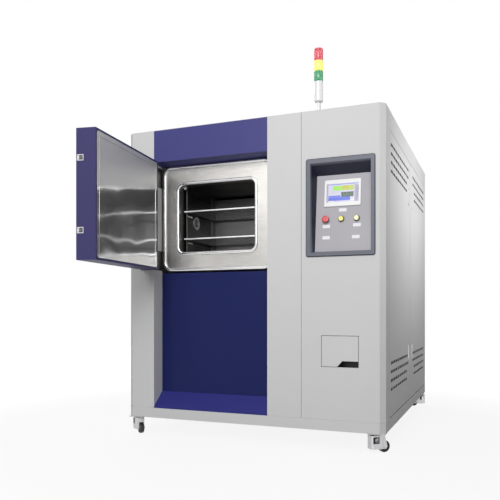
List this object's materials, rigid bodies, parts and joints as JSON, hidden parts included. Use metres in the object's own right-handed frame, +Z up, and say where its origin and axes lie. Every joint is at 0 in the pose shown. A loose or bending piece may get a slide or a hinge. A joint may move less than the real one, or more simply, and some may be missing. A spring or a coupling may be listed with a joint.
{
  "type": "environmental test chamber",
  "caption": "Floor-standing climatic test cabinet with an insulated stainless chamber, swing door, wire shelves, touch-screen controls, lamp tower, vented service doors and levelling casters.",
  "frame": {"origin": "on the floor, under the middle of the box around the whole machine with its door open", "axes": "+Z up, +Y from the door towards the back, +X to the right seen from the front"},
  "size_m": [1.6066, 2.6614, 2.218],
  "materials": {
    "grey_paint": "satin powder coat",
    "blue_paint": "satin powder coat",
    "stainless": "brushed",
    "seal_silicone": "matte",
    "insulation_wool": "fibrous",
    "motor_paint": "satin",
    "fin_aluminium": "mill finish",
    "black_metal": "satin",
    "switchgear_plastic": "matte",
    "bezel_plastic": "fine texture",
    "plate_paint": "fine satin",
    "screen_plastic": "smooth",
    "black_plastic": "matte",
    "white_plastic": "smooth",
    "lamp_plastic": "translucent",
    "red_plastic": "smooth",
    "yellow_plastic": "smooth",
    "cream_plastic": "smooth",
    "zinc_metal": "satin plated",
    "caster_metal": "die cast",
    "wheel_nylon": "smooth nylon",
    "pad_rubber": "matte"
  },
  "bodies": {
    "cabinet": {"welded_frame": "grey_paint", "left_column": "grey_paint", "middle_column": "grey_paint", "header_panel": "blue_paint", "lower_panel": "blue_paint", "control_front_panel": "grey_paint", "left_side_panel": "grey_paint", "rear_panel": "grey_paint", "top_cover": "grey_paint", "side_frame": "grey_paint", "door_seals": "seal_silicone", "chamber_liner": "stainless", "insulation": "insulation_wool", "air_panel": "stainless", "port_sleeve": "stainless", "fan_motor": "motor_paint", "heater": "stainless", "evaporator": "fin_aluminium", "compressors": "black_metal", "condenser": "fin_aluminium", "electrical_panel": "switchgear_plastic", "control_bezel": "bezel_plastic", "control_plate": "plate_paint", "touch_screen": "screen_plastic", "button_collars": "black_plastic", "hatch_pocket": "grey_paint", "tower_base": "white_plastic", "tower_lenses": "lamp_plastic", "door_fixings": "black_metal"},
    "chamber_door": {"door_shell": "blue_paint", "door_liner": "stainless", "hinge_straps": "black_metal"},
    "handle": {"door_handle": "black_metal"},
    "bolts": {"latch_bolts": "stainless"},
    "fan_wheel": {"circulation_fan": "stainless"},
    "cooling_fan": {"condenser_fan": "black_plastic"},
    "upper_shelf": {"shelf_upper": "stainless"},
    "lower_shelf": {"shelf_lower": "stainless"},
    "stop_head": {"emergency_stop": "red_plastic"},
    "reset_cap": {"reset_button": "yellow_plastic"},
    "lamp_cap": {"lamp_button": "cream_plastic"},
    "flap": {"hatch": "grey_paint"},
    "front_service_door": {"service_door_front": "grey_paint"},
    "rear_service_door": {"service_door_rear": "grey_paint"},
    "latch_front_lower_paddle": {"latch_front_lower": "zinc_metal"},
    "latch_front_upper_paddle": {"latch_front_upper": "zinc_metal"},
    "latch_rear_lower_paddle": {"latch_rear_lower": "zinc_metal"},
    "latch_rear_upper_paddle": {"latch_rear_upper": "zinc_metal"},
    "caster_front_left": {"caster_housing_front_left": "caster_metal"},
    "wheel_front_left": {"caster_wheel_front_left": "wheel_nylon"},
    "pad_front_left": {"caster_pad_front_left": "pad_rubber"},
    "caster_front_right": {"caster_housing_front_right": "caster_metal"},
    "wheel_front_right": {"caster_wheel_front_right": "wheel_nylon"},
    "pad_front_right": {"caster_pad_front_right": "pad_rubber"},
    "caster_rear_left": {"caster_housing_rear_left": "caster_metal"},
    "wheel_rear_left": {"caster_wheel_rear_left": "wheel_nylon"},
    "pad_rear_left": {"caster_pad_rear_left": "pad_rubber"},
    "caster_rear_right": {"caster_housing_rear_right": "caster_metal"},
    "wheel_rear_right": {"caster_wheel_rear_right": "wheel_nylon"},
    "pad_rear_right": {"caster_pad_rear_right": "pad_rubber"}
  },
  "joints": [
    {"name": "door_swing", "type": "hinge", "parent": "cabinet", "child": "chamber_door", "pos_m": [-0.658, -0.549, 1.323], "axis": [0, 0, -1], "range_deg": [-83.6, 28]},
    {"name": "handle_turn", "type": "hinge", "parent": "chamber_door", "child": "handle", "pos_m": [-0.57186, -1.1914, 1.323], "axis": [-0.9938, -0.1115, 0], "range_deg": [0, 90]},
    {"name": "bolt_throw", "type": "slide", "parent": "chamber_door", "child": "bolts", "axis": [0.1115, -0.9938, 0], "range_m": [0, 0.012]},
    {"name": "fan_spin", "type": "hinge", "parent": "cabinet", "child": "fan_wheel", "pos_m": [-0.234, 0.109, 1.3235], "axis": [0, 1, 0], "continuous": true},
    {"name": "cooling_fan_spin", "type": "hinge", "parent": "cabinet", "child": "cooling_fan", "pos_m": [0.29, 1.217, 0.725], "axis": [0, 1, 0], "continuous": true},
    {"name": "upper_shelf_slide", "type": "slide", "parent": "cabinet", "child": "upper_shelf", "axis": [0, -1, 0], "range_m": [0, 0.3]},
    {"name": "lower_shelf_slide", "type": "slide", "parent": "cabinet", "child": "lower_shelf", "axis": [0, -1, 0], "range_m": [0, 0.3]},
    {"name": "emergency_stop_press", "type": "slide", "parent": "cabinet", "child": "stop_head", "axis": [0, 0.9938, -0.1115], "range_m": [0, 0.006], "stiffness_N_per_m": 600},
    {"name": "reset_press", "type": "slide", "parent": "cabinet", "child": "reset_cap", "axis": [0, 0.9938, -0.1115], "range_m": [0, 0.004], "stiffness_N_per_m": 400},
    {"name": "lamp_press", "type": "slide", "parent": "cabinet", "child": "lamp_cap", "axis": [0, 0.9938, -0.1115], "range_m": [0, 0.004], "stiffness_N_per_m": 400},
    {"name": "hatch_swing", "type": "hinge", "parent": "cabinet", "child": "flap", "pos_m": [0.451, -0.508, 0.537], "axis": [0, 0, -1], "range_deg": [0, 95]},
    {"name": "front_service_door_swing", "type": "hinge", "parent": "cabinet", "child": "front_service_door", "pos_m": [0.784, -0.374, 0.955], "axis": [0, 0, -1], "range_deg": [0, 105]},
    {"name": "rear_service_door_swing", "type": "hinge", "parent": "cabinet", "child": "rear_service_door", "pos_m": [0.784, 1.261, 0.955], "axis": [0, 0, 1], "range_deg": [0, 105]},
    {"name": "latch_front_lower_pull", "type": "hinge", "parent": "front_service_door", "child": "latch_front_lower_paddle", "pos_m": [0.787, 0.3795, 0.528], "axis": [0, -1, 0], "range_deg": [0, 70]},
    {"name": "latch_front_upper_pull", "type": "hinge", "parent": "front_service_door", "child": "latch_front_upper_paddle", "pos_m": [0.787, 0.3795, 1.554], "axis": [0, -1, 0], "range_deg": [0, 70]},
    {"name": "latch_rear_lower_pull", "type": "hinge", "parent": "rear_service_door", "child": "latch_rear_lower_paddle", "pos_m": [0.787, 0.5545, 0.528], "axis": [0, -1, 0], "range_deg": [0, 70]},
    {"name": "latch_rear_upper_pull", "type": "hinge", "parent": "rear_service_door", "child": "latch_rear_upper_paddle", "pos_m": [0.787, 0.5545, 1.554], "axis": [0, -1, 0], "range_deg": [0, 70]},
    {"name": "swivel_front_left", "type": "hinge", "parent": "cabinet", "child": "caster_front_left", "pos_m": [-0.742, -0.465, 0.105], "axis": [0, 0, 1], "continuous": true},
    {"name": "roll_front_left", "type": "hinge", "parent": "caster_front_left", "child": "wheel_front_left", "pos_m": [-0.71408, -0.48927, 0.032], "axis": [0.6561, 0.7547, 0], "continuous": true},
    {"name": "level_front_left", "type": "slide", "parent": "caster_front_left", "child": "pad_front_left", "axis": [0, 0, -1], "range_m": [0, 0.022]},
    {"name": "swivel_front_right", "type": "hinge", "parent": "cabinet", "child": "caster_front_right", "pos_m": [0.742, -0.465, 0.105], "axis": [0, 0, 1], "continuous": true},
    {"name": "roll_front_right", "type": "hinge", "parent": "caster_front_right", "child": "wheel_front_right", "pos_m": [0.77034, -0.44122, 0.032], "axis": [-0.6428, 0.766, 0], "continuous": true},
    {"name": "level_front_right", "type": "slide", "parent": "caster_front_right", "child": "pad_front_right", "axis": [0, 0, -1], "range_m": [0, 0.022]},
    {"name": "swivel_rear_left", "type": "hinge", "parent": "cabinet", "child": "caster_rear_left", "pos_m": [-0.742, 1.289, 0.105], "axis": [0, 0, 1], "continuous": true},
    {"name": "roll_rear_left", "type": "hinge", "parent": "caster_rear_left", "child": "wheel_rear_left", "pos_m": [-0.77404, 1.3075, 0.032], "axis": [-0.5, -0.866, 0], "continuous": true},
    {"name": "level_rear_left", "type": "slide", "parent": "caster_rear_left", "child": "pad_rear_left", "axis": [0, 0, -1], "range_m": [0, 0.022]},
    {"name": "swivel_rear_right", "type": "hinge", "parent": "cabinet", "child": "caster_rear_right", "pos_m": [0.742, 1.289, 0.105], "axis": [0, 0, 1], "continuous": true},
    {"name": "roll_rear_right", "type": "hinge", "parent": "caster_rear_right", "child": "wheel_rear_right", "pos_m": [0.70723, 1.27635, 0.032], "axis": [0.342, -0.9397, 0], "continuous": true},
    {"name": "level_rear_right", "type": "slide", "parent": "caster_rear_right", "child": "pad_rear_right", "axis": [0, 0, -1], "range_m": [0, 0.022]}
  ],
  "couplings": [
    {"joint": "bolt_throw", "follows": "handle_turn", "m_per_rad": 0.0076394}
  ]
}
